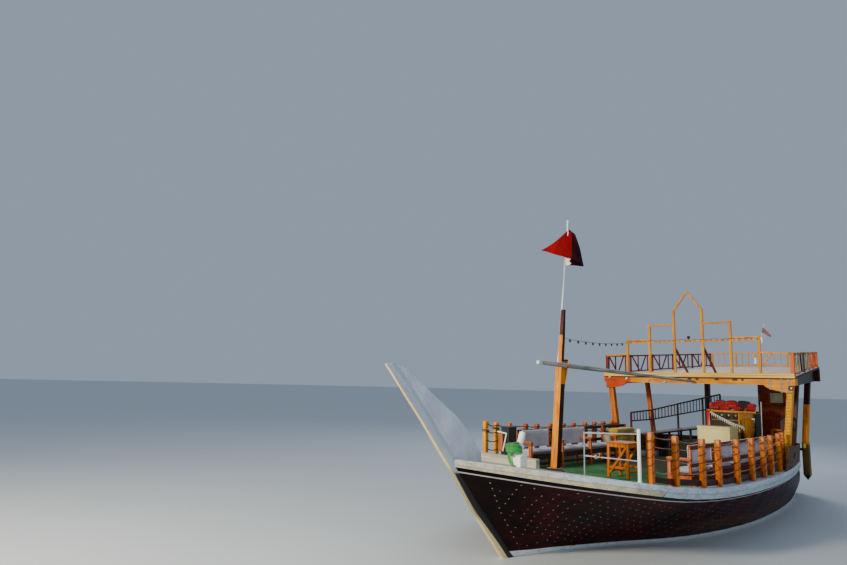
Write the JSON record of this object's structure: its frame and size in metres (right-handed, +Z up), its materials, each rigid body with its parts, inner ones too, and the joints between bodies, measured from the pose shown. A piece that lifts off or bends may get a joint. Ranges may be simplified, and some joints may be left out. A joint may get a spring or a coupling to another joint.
{
  "type": "dhow sailing boat",
  "caption": "Wooden dhow with raked stem and stemhead board, open deck with benches behind rope rails, roofed stern with an upper deck, mast with yard, rudder and propeller.",
  "frame": {"origin": "on the waterline plane, on the centreline, about amidships", "axes": "+X to the bow, +Y to port, +Z up"},
  "size_m": [16.0014, 5.0166, 7.7425],
  "materials": {
    "hull_paint": "dark oiled planking with rows of pale plugs",
    "gunwale_paint": "weathered cream-white paint on timber",
    "stemhead_paint": "weathered blue-grey white paint",
    "deck_carpet": "short green outdoor carpet on planks",
    "varnished_teak": "worn orange varnish",
    "pale_teak": "sunlit yellow varnish, worn",
    "dark_teak": "dark stained wood",
    "grey_spar": "bare weathered wood",
    "white_paint": "white gloss paint, chipped",
    "grey_cushion": "woven grey-blue cover",
    "cream_panel": "cream enamel",
    "red_cloth": "woven red nylon",
    "mustard_cloth": "folded woven mats, mustard yellow",
    "bronze": "dull bronze",
    "roof_paint": "pale painted boards"
  },
  "bodies": {
    "boat": {"keel": "hull_paint", "stem_post": "gunwale_paint", "hull": "hull_paint", "gunwale_port": "gunwale_paint", "gunwale_starboard": "gunwale_paint", "deck": "deck_carpet", "foredeck": "gunwale_paint", "poop_deck": "deck_carpet", "quarter_boards": "dark_teak", "stemhead_board": "stemhead_paint", "mooring_bitt": "white_paint", "bow_locker": "dark_teak", "mast": "varnished_teak", "flagpole": "white_paint", "flag": "red_cloth", "rail_port": "varnished_teak", "rail_starboard": "varnished_teak", "gate_rail": "white_paint", "stern_rail_port": "dark_teak", "stern_rail_starboard": "dark_teak", "post_front_port": "pale_teak", "post_front_starboard": "pale_teak", "post_middle_port": "dark_teak", "post_middle_starboard": "dark_teak", "post_stern_port": "dark_teak", "post_stern_starboard": "dark_teak", "roof_frame": "pale_teak", "roof_deck": "roof_paint", "upper_rail_port": "varnished_teak", "upper_rail_starboard": "dark_teak", "upper_rail_stern": "pale_teak", "gable_front": "pale_teak", "booth_front": "dark_teak", "booth_back": "dark_teak", "booth_outer_side": "dark_teak", "booth_inner_side": "dark_teak", "console": "dark_teak", "chest": "cream_panel", "barrel": "pale_teak", "deck_table": "varnished_teak", "stern_table": "varnished_teak", "bench_port": "varnished_teak", "bench_starboard": "varnished_teak", "seat_pad_port": "grey_cushion", "seat_pad_starboard": "grey_cushion", "back_pad_port": "grey_cushion", "back_pad_starboard": "grey_cushion", "life_jackets": "red_cloth", "rug_stack": "mustard_cloth", "bench_stern": "dark_teak"},
    "rudder": {"rudder": "hull_paint"},
    "propeller": {"propeller": "bronze"},
    "helm_wheel": {"helm_wheel": "varnished_teak"},
    "yard": {"yard": "grey_spar"},
    "booth_door": {"booth_door": "varnished_teak"},
    "chest_lid": {"chest_lid": "cream_panel"}
  },
  "joints": [
    {"name": "rudder_turn", "type": "hinge", "parent": "boat", "child": "rudder", "pos_m": [-6.6166, 0, 0], "axis": [-0.3487, 0, 0.9373], "range_deg": [-35, 35]},
    {"name": "propeller_spin", "type": "hinge", "parent": "boat", "child": "propeller", "pos_m": [-5.78, 0, -0.82], "axis": [1, 0, 0], "continuous": true},
    {"name": "helm_turn", "type": "hinge", "parent": "boat", "child": "helm_wheel", "pos_m": [-3.905, 0.4, 2.12], "axis": [1, 0, 0], "range_deg": [-351, 351]},
    {"name": "yard_peak", "type": "hinge", "parent": "boat", "child": "yard", "pos_m": [4.2035, 0.13, 3.365], "axis": [0, 1, 0], "range_deg": [0, 50]},
    {"name": "door_swing", "type": "hinge", "parent": "boat", "child": "booth_door", "pos_m": [-5.1865, 0.465, 2.2], "axis": [0, 0, 1], "range_deg": [0, 100]},
    {"name": "chest_lid_lift", "type": "hinge", "parent": "boat", "child": "chest_lid", "pos_m": [-2.77, 0.335, 1.952], "axis": [0, -1, 0], "range_deg": [0, 75]}
  ],
  "couplings": [
    {"joint": "helm_turn", "follows": "rudder_turn", "ratio": 10}
  ]
}
